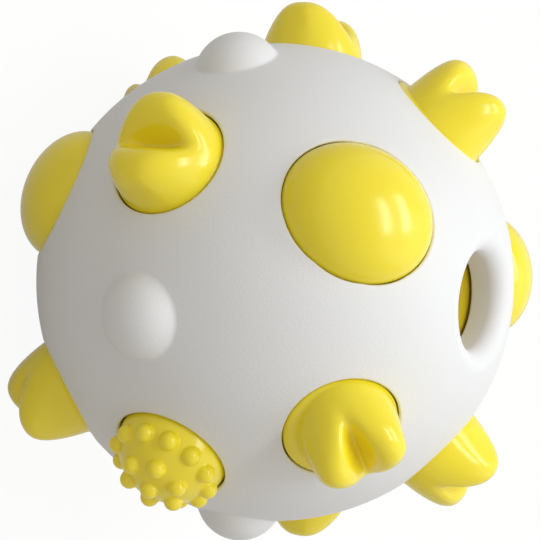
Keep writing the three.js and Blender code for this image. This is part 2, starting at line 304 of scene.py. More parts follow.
@dataclass(frozen=True)
class MouldedRubber:
    """Yellow moulded rubber: a smooth half gloss with a soft skin and faint flow clouds."""

    name: str
    deep: Colour
    bright: Colour
    roughness: float
    gloss: float = 0.5
    cloud: float = 9.0 * MM
    skin: float = 0.7 * MM
    cloud_tint: float = 0.8
    skin_tint: float = 0.2
    relief: float = 0.012 * MM
    relief_strength: float = 0.3
    cloud_rough: float = 0.6
    skin_rough: float = 0.4
    roughness_swing: float = 0.08
    subsurface: float = 0.0
    subsurface_reach: Colour = (1.0, 0.8, 0.15)
    subsurface_depth: float = 1.5 * MM

    def make(self) -> bpy.types.Material:
        """Build the material.

        Returns:
            A material on Object coordinates.
        """
        graph, made = Graph.material(self.name)
        at = graph.node("ShaderNodeTexCoord", output="Object")
        clouds = graph.noise(at, self.cloud, 2.0)
        skin = graph.noise(at, self.skin, 2.0)
        colour = graph.mix(clouds * self.cloud_tint + skin * self.skin_tint, self.deep, self.bright)
        uneven = clouds * self.cloud_rough + skin * self.skin_rough
        rough = self.roughness + (uneven - 0.5) * self.roughness_swing
        bump = graph.bump(skin, self.relief, self.relief_strength)
        inputs = {"Base Color": colour, "Roughness": rough, "Normal": bump}
        inputs["Specular IOR Level"] = self.gloss
        if self.subsurface:
            inputs["Subsurface Weight"] = self.subsurface
            inputs["Subsurface Radius"] = self.subsurface_reach
            inputs["Subsurface Scale"] = self.subsurface_depth
        graph.surface(graph.node("ShaderNodeBsdfPrincipled", None, inputs))
        return made


KNOB_RUBBER = MouldedRubber(
    name="yellow_knob_rubber",
    deep=(0.93, 0.748, 0.020),
    bright=(0.99, 0.817, 0.028),
    roughness=0.21,
    subsurface=0.3,
)
# Painted shade: the inner ball and its pads keep the rubber's own yellow hue but at about half the
# knobs' brightness, which stands in for the shade deep inside the end holes where the ball shows.
INNER_RUBBER_WITH_PAINTED_SHADE = MouldedRubber(
    name="yellow_inner_rubber",
    deep=(0.44, 0.32, 0.006),
    bright=(0.50, 0.37, 0.008),
    roughness=0.6,
    gloss=0.15,
)


@dataclass(frozen=True)
class WhiteFloor:
    """Pale matt floor that looks white to the camera and keeps the object's shadow."""

    name: str = "pale_floor"
    colour: Colour = (0.43, 0.415, 0.39)
    glow: float = 0.85
    mirror: float = 0.5
    brightness: float = 1.1

    def make(self) -> bpy.types.Material:
        """Build the material.

        Returns:
            A material that mixes a matt grey with plain white for rays that show the background.
        """
        graph, made = Graph.material(self.name)
        seen = graph.light_path("Is Camera Ray")
        mirrored = graph.light_path("Is Glossy Ray")
        through = graph.light_path("Is Transmission Ray")
        share = seen.larger(mirrored * self.mirror).larger(through) * self.glow
        matt = graph.node("ShaderNodeBsdfDiffuse", None, {"Color": (*self.colour, 1.0)})
        glow = {"Color": (1.0, 1.0, 1.0, 1.0), "Strength": self.brightness}
        white = graph.node("ShaderNodeEmission", None, glow)
        graph.surface(graph.node("ShaderNodeMixShader", None, {0: share, 1: matt, 2: white}))
        return made


class Bench:
    """The modeller's hand tools: each one is a few of Blender's operators on one piece."""

    @staticmethod
    def hold(*pieces: Piece) -> None:
        """Select these pieces alone, the first one active."""
        bpy.ops.object.select_all(action="DESELECT")
        for piece in pieces:
            piece.select_set(True)
        bpy.context.view_layer.objects.active = pieces[0]

    @staticmethod
    def named(name: str) -> Piece:
        """Name the piece that was just added.

        Args:
            name: The name of the object and its mesh.

        Returns:
            The piece.
        """
        piece = bpy.context.object
        piece.name = name
        piece.data.name = name
        return piece

    @staticmethod
    def add(name: str, primitive: Callable[..., Any], **settings: Any) -> Piece:
        """Add a primitive with nothing else selected.

        Args:
            name: The new piece's name.
            primitive: The operator that adds it.
            **settings: The operator's settings.

        Returns:
            The piece.
        """
        bpy.ops.object.select_all(action="DESELECT")
        primitive(**settings)
        return Bench.named(name)

    @staticmethod
    def scrap(*pieces: Piece) -> None:
        """Throw away pieces that were only tools or masters."""
        for piece in pieces:
            bpy.data.objects.remove(piece, do_unlink=True)

    @staticmethod
    def line(name: str, points: Sequence[Vector]) -> Piece:
        """Draw a line of edges, corner by corner, and stay in edit mode.

        Args:
            name: The new piece's name.
            points: The corners in order.

        Returns:
            The piece.
        """
        piece = Bench.add(name, bpy.ops.mesh.primitive_plane_add, size=MM)
        bpy.ops.object.mode_set(mode="EDIT")
        bpy.ops.mesh.select_all(action="SELECT")
        bpy.ops.mesh.merge(type="CENTER")
        bpy.ops.transform.translate(value=points[0])
        for here, there in zip(points, points[1:]):
            bpy.ops.mesh.extrude_vertices_move(TRANSFORM_OT_translate={"value": there - here})
        return piece

    @staticmethod
    def weld() -> None:
        """Merge doubles, turn the faces outwards and leave edit mode."""
        bpy.ops.mesh.select_all(action="SELECT")
        bpy.ops.mesh.remove_doubles(threshold=WELD)
        bpy.ops.mesh.normals_make_consistent(inside=False)
        bpy.ops.object.mode_set(mode="OBJECT")

    @staticmethod
    def turn(name: str, profile: Sequence[Point], steps: int) -> Piece:
        """Turn a profile about the Z axis.

        Args:
            name: The new piece's name.
            profile: Radius and height of each corner.
            steps: Steps around.

        Returns:
            The turned piece.
        """
        piece = Bench.line(name, [Vector((radius, 0.0, height)) for radius, height in profile])
        bpy.ops.mesh.select_all(action="SELECT")
        bpy.ops.mesh.spin(steps=steps, angle=2.0 * math.pi, center=(0, 0, 0), axis=(0, 0, 1))
        Bench.weld()
        return piece

    @staticmethod
    def choose(piece: Piece, test: Callable[[Vector], bool]) -> None:
        """Select in edit mode the corners whose place passes a test.

        Args:
            piece: The piece in hand.
            test: Says whether a corner is taken.
        """
        bpy.ops.mesh.select_all(action="DESELECT")
        bpy.ops.object.mode_set(mode="OBJECT")
        for vertex in piece.data.vertices:
            vertex.select = test(vertex.co)
        bpy.ops.object.mode_set(mode="EDIT")
        bpy.ops.mesh.select_mode(type="VERT")

    @staticmethod
    def modify(piece: Piece, kind: str, **settings: Any) -> None:
        """Add a modifier and apply it.

        Args:
            piece: The piece in hand.
            kind: The modifier's type.
            **settings: The modifier's settings.
        """
        Bench.hold(piece)
        bpy.ops.object.modifier_add(type=kind)
        modifier = piece.modifiers[-1]
        for key, setting in settings.items():
            setattr(modifier, key, setting)
        bpy.ops.object.modifier_apply(modifier=modifier.name)

    @staticmethod
    def combine(piece: Piece, tool: Piece, operation: str) -> None:
        """Add a tool to a piece, take it out or keep what is common, and use the tool up.

        Args:
            piece: The piece in hand.
            tool: The other body.
            operation: UNION, DIFFERENCE or INTERSECT.
        """
        Bench.modify(piece, "BOOLEAN", operation=operation, solver="MANIFOLD", object=tool)
        Bench.scrap(tool)

    @staticmethod
    def copy(piece: Piece, name: str) -> Piece:
        """Copy a piece with its own mesh.

        Args:
            piece: What is copied.
            name: The copy's name.

        Returns:
            The copy.
        """
        Bench.hold(piece)
        bpy.ops.object.duplicate(linked=False)
        return Bench.named(name)

    @staticmethod
    def stand(piece: Piece, place: Matrix) -> Piece:
        """Put a piece in its place, in its mesh.

        Args:
            piece: The piece in hand.
            place: Where it goes.

        Returns:
            The same piece, its object still at the origin.
        """
        piece.matrix_world = place
        Bench.hold(piece)
        bpy.ops.object.transform_apply(location=True, rotation=True, scale=True)
        return piece

    @staticmethod
    def dress(piece: Piece, material: bpy.types.Material, slot: Slot, sharp: float) -> None:
        """Smooth a piece and give it its finish.

        Args:
            piece: The piece in hand.
            material: Its only material.
            slot: The record's slot. Not used.
            sharp: Edges above this angle in degrees stay sharp.
        """
        Bench.hold(piece)
        bpy.ops.object.shade_smooth_by_angle(angle=math.radians(sharp))
        piece.data.materials.clear()
        piece.data.materials.append(material)


def arc(middle: Point, radius: float, start: float, end: float, steps: int) -> list[Point]:
    """Points along a circle.

    Args:
        middle: Middle of the circle.
        radius: Its radius.
        start: First angle in radians.
        end: Last angle.
        steps: Steps between them.

    Returns:
        steps + 1 points.
    """
    angles = [start + (end - start) * i / steps for i in range(steps + 1)]
    return [(middle[0] + radius * math.cos(a), middle[1] + radius * math.sin(a)) for a in angles]


def near(at: Vector, spots: Sequence[Vector], reach: float) -> bool:
    """Say whether a corner lies on one of some spots.

    Args:
        at: The corner.
        spots: The spots.
        reach: How far off it may be.

    Returns:
        True if it does.
    """
    return any((at - spot).length < reach for spot in spots)


@dataclass(frozen=True)
class KnobPlace:
    """Where one knob of the frame stands."""

    node: str
    body: str
    joint: str
    kind: KnobKind
    out: Vector
    belt: bool

    @classmethod
    def all(cls) -> list["KnobPlace"]:
        """Read the knobs from the frame's joints.

        Returns:
            One place for each joint.
        """
        bodies = frame["record"]["behaviour"]["bodies"]
        places = []
        for joint in frame["joints"]:
            node = bodies[joint["child"]][0]
            out = -Vector(joint["axis"]).normalized()
            kind = KnobKind(node.split("_")[0])
            places.append(cls(node, joint["child"], joint["name"], kind, out, abs(out.z) < BELT_BAND))
        return places

    def matrix(self, turn: float = 0.0) -> Matrix:
        """Stand a body made along Z on the ball, its X towards the upper end.

        Args:
            turn: Angle about its own axis, in degrees.

        Returns:
            The placing matrix.
        """
        along = (Vector((0, 0, 1)) - self.out * self.out.z).normalized()
        around = self.out.cross(along)
        basis = Matrix((along, around, self.out)).transposed().to_4x4()
        return basis @ Matrix.Rotation(math.radians(turn), 4, "Z")


@dataclass
class Shell:
    """The white ball in two halves: bumps, knob holes, open end holes and pegs in the seam."""

    radius: float = 40.0 * MM
    wall: float = 8.0 * MM
    hole: float = 9.25 * MM
    dome_hole_long: float = 12.3 * MM
    dome_hole_short: float = 11.0 * MM
    lip: float = 0.35 * MM
    flare: float = 0.4 * MM
    mouth_reach: float = 1.12
    hole_room: float = 4.0 * MM
    oval_shares: tuple[float, ...] = (-1.0, -0.62, 0.0, 0.62, 1.0)
    end_hole: float = 7.7 * MM
    end_lip: float = 2.8 * MM
    end_edge: float = 0.3 * MM
    recess: float = 11.5 * MM
    recess_top: float = 32.6 * MM
    recess_room: float = 6.0 * MM
    rib: float = 2.6 * MM
    neck_hole: float = 6.55 * MM
    seat: float = 31.32 * MM
    seat_radius: float = 8.6 * MM
    bump_base: float = 6.6 * MM
    bump_height: float = 3.7 * MM
    bump_fillet: float = 0.8 * MM
    bump_sink: float = 4.0 * MM
    bump_skin: float = 0.004 * MM
    peg: float = 1.7 * MM
    peg_tip: float = 0.5 * MM
    peg_length: float = 5.0 * MM
    peg_root: float = 2.0 * MM
    peg_gap: float = 0.2 * MM
    columns: int = 5
    hole_facets: int = 128
    bump_facets: int = 96
    peg_facets: int = 32
    sharp: float = 35.0
    finish: SandedPlastic = field(default_factory=SandedPlastic)

    @property
    def inside(self) -> float:
        """Radius of the hollow."""
        return self.radius - self.wall

    def mouth(self, radius: float, lip: float, steps: int) -> list[Point]:
        """The rounded edge of a hole, from its wall to the ball's outside.

        Args:
            radius: The hole's radius.
            lip: The rounding.
            steps: Steps in the rounding.

        Returns:
            Its profile, with one more corner clear of the ball.
        """
        middle = (radius + lip, math.sqrt((self.radius - lip) ** 2 - (radius + lip) ** 2))
        edge = arc(middle, lip, math.pi, math.atan2(middle[1], middle[0]), steps)
        out, up = edge[-1]
        return [*edge, (out * self.mouth_reach, up * self.mouth_reach)]

    def knob_hole(self, radius: float) -> Piece:
        """What a knob takes out of the ball: seat, neck hole, ledge, wall and rounded mouth.

        Args:
            radius: The mouth's radius.

        Returns:
            The tool, along Z.
        """
        low = self.inside - self.hole_room
        ledge = self.inside + self.rib
        edge = self.mouth(radius, self.lip, 7)
        profile = [
            (0.0, low),
            (self.seat_radius, low),
            (self.seat_radius, self.seat),
            (self.neck_hole, self.seat),
            (self.neck_hole, ledge),
            (radius + self.flare, ledge),
            *edge,
            (0.0, edge[-1][1]),
        ]
        return Bench.turn("knob_hole", profile, self.hole_facets)

    def oval_circles(self) -> list[Point]:
        """Circles that touch a dome hole's oval from inside and together fill it.

        Returns:
            Radius of each circle and its shift along the meridian.
        """
        spread = self.dome_hole_long**2 - self.dome_hole_short**2
        shifts = [spread / self.dome_hole_long * share for share in self.oval_shares]
        return [(self.dome_hole_short * math.sqrt(1.0 - shift**2 / spread), shift) for shift in shifts]

    def open_hole(self) -> Piece:
        """The open end hole with its thick round lip, and the recess behind it.

        Returns:
            The tool, along Z.
        """
        low = self.inside - self.recess_room
        edge = self.mouth(self.end_hole, self.end_lip, 20)
        profile = [
            (0.0, low),
            (self.recess, low),
            (self.recess, self.recess_top),
            (self.end_hole + self.end_edge, self.recess_top),
            (self.end_hole, self.recess_top + self.end_edge),
            *edge,
            (0.0, edge[-1][1]),
        ]
        return Bench.turn("open_hole", profile, self.hole_facets)

    def bump(self) -> Piece:
        """One round bump with a small fillet where it meets the ball.

        Returns:
            The bump, along Z.
        """
        foot = math.sqrt(self.radius**2 - self.bump_base**2)
        cap = self.radius + self.bump_height - foot
        round_r = (self.bump_base**2 + cap**2) / (2.0 * cap)
        middle = self.radius + self.bump_height - round_r
        ball = self.radius - self.bump_skin
        fillet = self.bump_fillet
        height = (middle**2 + (ball + fillet) ** 2 - (round_r + fillet) ** 2) / (2.0 * middle)
        out = math.sqrt((ball + fillet) ** 2 - height**2)
        top_angle = math.atan2(height - middle, out)
        dome = arc((0.0, middle), round_r, math.pi / 2, top_angle, 20)
        foot_angle = math.atan2(-height, -out) + 2 * math.pi
        hollow = arc((out, height), fillet, top_angle + math.pi, foot_angle, 6)
        low = self.radius - self.bump_sink
        profile = [(0.0, dome[0][1]), *dome[1:], *hollow[1:], (hollow[-1][0], low), (0.0, low)]
        return Bench.turn("bump", profile, self.bump_facets)

    def column_turns(self) -> list[Matrix]:
        """Turns about the ball's axis, one for each column of bumps and pegs.

        Returns:
            The turning matrices.
        """
        return [Matrix.Rotation(2.0 * math.pi * i / self.columns, 4, "Z") for i in range(self.columns)]

    def whole(self, places: Sequence[KnobPlace]) -> Piece:
        """The ball before it is parted.

        Args:
            places: The knobs that it holds.

        Returns:
            The hollow ball with bumps and holes.
        """
        sphere = bpy.ops.mesh.primitive_ico_sphere_add
        ball = Bench.add("shell", sphere, subdivisions=7, radius=self.radius)
        level = Matrix.Rotation(math.pi / 2, 4, "Y")
        for turn in self.column_turns():
            Bench.combine(ball, Bench.stand(self.bump(), turn @ level), "UNION")
        hollow = Bench.add("hollow", sphere, subdivisions=6, radius=self.inside)
        Bench.combine(ball, hollow, "DIFFERENCE")
        plain = [(self.knob_hole(self.hole), 0.0)]
        oval = [(self.knob_hole(radius), shift / self.radius) for radius, shift in self.oval_circles()]
        for place in places:
            for tool, tilt in oval if place.kind is KnobKind.DOME else plain:
                cutter = Bench.copy(tool, "cutter")
                Bench.stand(cutter, place.matrix() @ Matrix.Rotation(tilt, 4, "Y"))
                Bench.combine(ball, cutter, "DIFFERENCE")
        for angle in (0.0, math.pi):
            cutter = Bench.stand(self.open_hole(), Matrix.Rotation(angle, 4, "X"))
            Bench.combine(ball, cutter, "DIFFERENCE")
        Bench.scrap(*[tool for tool, _ in plain + oval])
        return ball

    def part(self, ball: Piece, name: str, side: int) -> Piece:
        """Keep one half of the ball.

        Args:
            ball: The whole ball.
            name: The half's name.
            side: 1 for the upper half, -1 for the lower one.

        Returns:
            The half.
        """
        half = Bench.copy(ball, name)
        reach = 3.0 * self.radius
        cube = bpy.ops.mesh.primitive_cube_add
        room = Bench.add("room", cube, size=reach, location=(0, 0, side * reach / 2))
        Bench.combine(half, room, "INTERSECT")
        return half

    def pegs(self, half: Piece, gap: float, operation: str) -> None:
        """Add round-ended pegs to the seam, or cut their sockets.

        Args:
            half: The half in hand.
            gap: How much larger than a peg the tool is.
            operation: UNION for pegs, DIFFERENCE for sockets.
        """
        radius, length = self.peg + gap, self.peg_length + gap
        corner = (radius - self.peg_tip, -length + self.peg_tip)
        tip = arc(corner, self.peg_tip, -math.pi / 2, 0.0, 4)
        profile = [(0.0, -length), *tip, (radius, self.peg_root), (0.0, self.peg_root)]
        shift = Matrix.Translation((self.inside + self.wall / 2, 0, 0))
        for turn in self.column_turns():
            peg = Bench.turn("peg", profile, self.peg_facets)
            Bench.combine(half, Bench.stand(peg, turn @ shift), operation)

    def build(self, places: Sequence[KnobPlace]) -> None:
        """Build and dress both halves.

        Args:
            places: The knobs that the ball holds.
        """
        ball = self.whole(places)
        upper = self.part(ball, "white_half_upper", 1)
        lower = self.part(ball, "white_half_lower", -1)
        Bench.scrap(ball)
        self.pegs(upper, 0.0, "UNION")
        self.pegs(lower, self.peg_gap, "DIFFERENCE")
        material = self.finish.make()
        for half, node in ((upper, "shell_half_upper"), (lower, "shell_half_lower")):
            Bench.hold(half)
            bpy.ops.object.mode_set(mode="EDIT")
            bpy.ops.mesh.select_all(action="SELECT")
            bpy.ops.mesh.dissolve_degenerate(threshold=WELD)
            bpy.ops.object.mode_set(mode="OBJECT")
            Bench.dress(half, material, Slot.SHELL, self.sharp)
            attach(half, "ball")
            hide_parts(node)
            LOG.info("%s: %d faces", half.name, len(half.data.polygons))


@dataclass
class Knob:
    """What every push-in knob shares: neck, barb and the finish of its rubber."""

    head_bottom: float = 36.95 * MM
    neck: float = 6.2 * MM
    barb: float = 7.8 * MM
    barb_tip: float = 5.2 * MM
    barb_edge: float = 0.9 * MM
    barb_top: float = 31.02 * MM
    barb_bottom: float = 28.82 * MM
    soft: float = 0.35 * MM
    soft_middle: float = 0.3
    facets: int = 96
    voxel: float = 0.19 * MM
    blend: int = 5
    sharp: float = 50.0

    def stem(self, head: float) -> list[Point]:
        """Profile from a head's edge down to the middle of the barb.

        Args:
            head: The head's radius.

        Returns:
            Radius and height of each corner.
        """
        s = self.soft
        return [
            (head, self.head_bottom + s),
            (head - s * self.soft_middle, self.head_bottom + s * self.soft_middle),
            (head - s, self.head_bottom),
            (self.neck + s, self.head_bottom),
            (self.neck, self.head_bottom - s),
            (self.neck, self.barb_top + s),
            (self.neck + s * 0.5, self.barb_top),
            (self.barb - s, self.barb_top),
            (self.barb, self.barb_top - s),
            (self.barb, self.barb_top - self.barb_edge),
            (self.barb_tip + s, self.barb_bottom + s * 0.5),
            (self.barb_tip - s, self.barb_bottom),
            (0.0, self.barb_bottom),
        ]

    def crown(self, head: float, top: float, steps: int) -> list[Point]:
        """Profile of an elliptic crown on the stem, from the barb up to the top.

        Args:
            head: The head's radius.
            top: Height of its top.
            steps: Steps in the crown.

        Returns:
            Radius and height of each corner.
        """
        rise = top - self.head_bottom
        angles = [0.5 * math.pi * i / steps for i in range(1, steps)]
        dome = [(head * math.cos(a), self.head_bottom + rise * math.sin(a)) for a in angles]
        dome = [point for point in dome if point[1] > self.head_bottom + 1.5 * self.soft]
        return [*reversed(self.stem(head)), *dome, (0.0, top)]

    def blended(self, piece: Piece) -> Piece:
        """Blend what was joined into one skin.

        Args:
            piece: The knob in hand.

        Returns:
            The same knob.
        """
        Bench.modify(piece, "REMESH", mode="VOXEL", voxel_size=self.voxel)
        Bench.modify(piece, "SMOOTH", factor=0.5, iterations=self.blend)
        return piece

    def master(self) -> Piece:
        """Model the knob once, along Z."""
        raise NotImplementedError

    def turn(self, place: KnobPlace) -> float:
        """Angle of a knob about its own axis, in degrees."""
        return 0.0

    def build(self, places: Sequence[KnobPlace], material: bpy.types.Material) -> None:
        """Model the knob once and copy it to its places.

        Args:
            places: Where knobs of this design stand.
            material: Their rubber.
        """
        master = self.master()
        for place in places:
            piece = Bench.copy(master, f"rubber_{place.node}")
            Bench.stand(piece, place.matrix(self.turn(place)))
            Bench.dress(piece, material, Slot.KNOB, self.sharp)
            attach(piece, place.body)
            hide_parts(place.node)
            LOG.info("%s: %d faces", piece.name, len(piece.data.polygons))
        Bench.scrap(master)


@dataclass
class DomeKnob(Knob):
    """A smooth oval dome, longer along the meridian."""

    long: float = 12.1 * MM
    short: float = 10.8 * MM
    top: float = 45.0 * MM
    facets: int = 112

    def master(self) -> Piece:
        """Turn the dome and stretch its head into an oval.

        Returns:
            The knob, along Z.
        """
        piece = Bench.turn("dome", self.crown(self.short, self.top, 26), self.facets)
        bpy.ops.object.mode_set(mode="EDIT")
        head = self.head_bottom - 0.5 * self.soft
        Bench.choose(piece, lambda at: at.z > head)
        bpy.ops.transform.resize(value=(self.long / self.short, 1, 1), center_override=(0, 0, 0))
        bpy.ops.object.mode_set(mode="OBJECT")
        return piece


@dataclass
class StudKnob(Knob):
    """A low dome covered with small round studs."""

    radius: float = 9.05 * MM
    top: float = 46.05 * MM
    stud: float = 1.5 * MM
    stud_sink: float = 0.1 * MM
    rings: tuple[tuple[int, float], ...] = ((1, 0.0), (6, 4.45 * MM), (12, 7.85 * MM))
    voxel: float = 0.15 * MM

    def stud_places(self) -> list[tuple[Vector, Vector]]:
        """Middle and direction of each stud.

        Returns:
            One pair for each stud.
        """
        rise = self.top - self.head_bottom
        places = []
        for count, ring in self.rings:
            height = rise * math.sqrt(1.0 - (ring / self.radius) ** 2)
            for i in range(count):
                angle = 2.0 * math.pi * i / count
                side = Vector((math.cos(angle), math.sin(angle), 0.0)) * ring
                out = (side / self.radius**2 + Vector((0, 0, height / rise**2))).normalized()
                skin = side + Vector((0, 0, self.head_bottom + height))
                places.append((skin - out * self.stud_sink, out))
        return places

    def master(self) -> Piece:
        """Turn the low dome, set the studs on it and blend their feet.

        Returns:
            The knob, along Z.
        """
        piece = Bench.turn("stud", self.crown(self.radius, self.top, 20), self.facets)
        studs = []
        sphere = bpy.ops.mesh.primitive_uv_sphere_add
        for middle, out in self.stud_places():
            stud = Bench.add("one_stud", sphere, segments=32, ring_count=16, radius=self.stud)
            place = Matrix.Translation(middle) @ out.to_track_quat("Z", "Y").to_matrix().to_4x4()
            studs.append(Bench.stand(stud, place))
        Bench.hold(piece, *studs)
        bpy.ops.object.join()
        return self.blended(piece)


@dataclass
class ForkKnob(Knob):
    """A round base with a ridge of two round tips and a groove between them."""

    lean: float = 0.85 * MM
    base: float = 9.05 * MM
    side: float = 1.5 * MM
    base_rise: float = 1.4 * MM
    radius: float = 8.0 * MM
    stretch: float = 1.09
    top: float = 48.55 * MM
    tip: float = 2.8 * MM
    tip_out: float = 4.25 * MM
    groove_floor: float = 42.4 * MM
    fullness: float = 2.5
    sharpness: float = 0.77
    groove_whole: float = 0.12
    groove_end: float = 1.06
    flank_angles: tuple[float, ...] = (30.0, 21.0, 12.0, 5.0, 0.0)
    flank_gap: float = 0.2 * MM
    rows: tuple[float, ...] = (0.985, 0.945, 0.87, 0.77, 0.64, 0.5, 0.34, 0.17, 0.0)

    @property
    def rim(self) -> float:
        """Height of the straight side's upper edge."""
        return self.head_bottom + self.side

    def touch(self, point: Point, hand: int) -> Point:
        """Where the straight line from a point touches a tip's rounding.

        Args:
            point: Place across and height.
            hand: 1 for the flank, -1 for the groove.

        Returns:
            Place across and height.
        """
        low = self.top - self.tip
        away = (point[0] - self.tip_out, point[1] - low)
        angle = math.atan2(away[1], away[0]) + hand * math.acos(self.tip / math.hypot(*away))
        return self.tip_out + self.tip * math.cos(angle), low + self.tip * math.sin(angle)

    def section(self) -> list[Point]:
        """The outline across the groove, from its floor over a tip and down the flank to the base.

        Returns:
            Place across and height of each corner.
        """
        groove = self.touch((0.0, self.groove_floor), -1)
        flank = self.touch((self.radius, self.rim), 1)
        low = self.top - self.tip
        start = math.atan2(groove[1] - low, groove[0] - self.tip_out)
        end = math.atan2(flank[1] - low, flank[0] - self.tip_out)
        round_tip = arc((self.tip_out, low), self.tip, start, end, 6)
        wall = [self.radius * math.cos(math.radians(angle)) for angle in self.flank_angles]
        wall = [x for x in wall if x > flank[0] + self.flank_gap]
        slope = (self.rim - flank[1]) / (self.radius - flank[0])
        straight = [(x, flank[1] + (x - flank[0]) * slope) for x in wall]
        middle = (groove[0] * 0.5, 0.5 * (self.groove_floor + groove[1]))
        return [(0.0, self.groove_floor), middle, *round_tip, *straight]

    def fall(self, share: float) -> float:
        """How much of the height is left at a share of the way along the groove to the base."""
        return max(0.0, 1.0 - share**self.fullness) ** self.sharpness

    def height(self, across: Point, share: float) -> float:
        """Height before the fall: the groove runs out towards the base.

        Args:
            across: A corner of the section.
            share: Share of the way along the groove.

        Returns:
            The height.
        """
        if across[0] >= self.tip_out:
            return across[1]
        t = min(1.0, max(0.0, (share - self.groove_whole) / (self.groove_end - self.groove_whole)))
        return across[1] + (self.top - across[1]) * t * t * (3.0 - 2.0 * t)

    def quarter(self) -> Piece:
        """Draw a row across the ridge near its end, pull it into the base and up to the groove's middle.

        Returns:
            A quarter of the ridge, open at its two flat sides and below.
        """
        section = self.section()
        first = self.rows[0]
        chords = [self.stretch * math.sqrt(max(0.0, self.radius**2 - x**2)) for x, _ in section]
        row = []
        for corner, chord in zip(section, chords):
            rise = (self.height(corner, first) - self.rim) * self.fall(first)
            row.append(Vector((corner[0], chord * first, self.rim + rise)))
        piece = Bench.line("ridge", row)
        bpy.ops.mesh.select_all(action="SELECT")
        foot = (0.0, 0.0, self.rim)
        self.pull(foot, (1.0, 1.0 / first, 0.0))
        self.pull(foot, (1.0, 1.0, 1.0), -0.5 * self.side)
        self.pull((0.0, 0.0, 0.0), (0.0, 0.0, 1.0))
        bpy.ops.mesh.select_all(action="SELECT")
        bpy.ops.mesh.remove_doubles(threshold=WELD)
        Bench.choose(piece, lambda at: near(at, row, WELD))
        for last, share in zip(self.rows, self.rows[1:]):
            self.pull(foot, (1.0, share / last, self.fall(share) / self.fall(last)))
            whole = []
            for corner, chord in zip(section, chords):
                lift = (self.height(corner, share) - self.height(corner, last)) * self.fall(share)
                now = Vector((corner[0], chord * share, self.rim))
                now.z += (self.height(corner, last) - self.rim) * self.fall(share)
                if abs(lift) > WELD:
                    Bench.choose(piece, lambda at, spot=now: near(at, [spot], 5 * WELD))
                    bpy.ops.transform.translate(value=(0.0, 0.0, lift))
                whole.append(now + Vector((0.0, 0.0, lift)))
            Bench.choose(piece, lambda at, spots=whole: near(at, spots, 5 * WELD))
        Bench.weld()
        return piece

    @staticmethod
    def pull(middle: Sequence[float], scale: Sequence[float], lift: float = 0.0) -> None:
        """Extrude the row in hand, scale it and move it up.

        Args:
            middle: What it is scaled about.
            scale: Scale along X, Y and Z.
            lift: How far it goes up.
        """
        bpy.ops.mesh.extrude_region_move(TRANSFORM_OT_translate={"value": (0.0, 0.0, lift)})
        bpy.ops.transform.resize(value=scale, center_override=middle)

    def master(self) -> Piece:
        """Mirror the quarter both ways, round the ridge, stand it on the base and blend the two.

        Returns:
            The knob, along Z, its groove along Y.
        """
        ridge = self.quarter()
        Bench.modify(ridge, "MIRROR", use_axis=(True, True, False), merge_threshold=10 * WELD)
        bpy.ops.object.mode_set(mode="EDIT")
        Bench.weld()
        Bench.modify(ridge, "SUBSURF", levels=2, render_levels=2)
        Bench.stand(ridge, Matrix.Translation((self.lean, 0.0, 0.0)))
        angles = [0.5 * math.pi * i / 12 for i in range(12)]
        dome = [(self.base * math.cos(a), self.rim + self.base_rise * math.sin(a)) for a in angles]
        profile = [*reversed(self.stem(self.base)), *dome, (0.0, self.rim + self.base_rise)]
        piece = Bench.turn("fork", profile, self.facets)
        Bench.combine(piece, ridge, "UNION")
        return self.blended(piece)

    def turn(self, place: KnobPlace) -> float:
        """Groove around the ball, the ridge towards the near end."""
        return 0.0 if place.out.z > 0.0 else 180.0


@dataclass
class BeltForkKnob(ForkKnob):
    """The belt's fork: lower and broader, its ridge in the middle of its base."""

    lean: float = 0.0
    radius: float = 8.85 * MM
    stretch: float = 1.0
    top: float = 47.6 * MM
    tip: float = 3.2 * MM
    tip_out: float = 4.95 * MM
    groove_floor: float = 42.0 * MM
    groove_whole: float = 0.2
    groove_end: float = 1.15
    fullness: float = 2.87
    sharpness: float = 0.67

    def turn(self, place: KnobPlace) -> float:
        """Groove along the meridian."""
        return 90.0


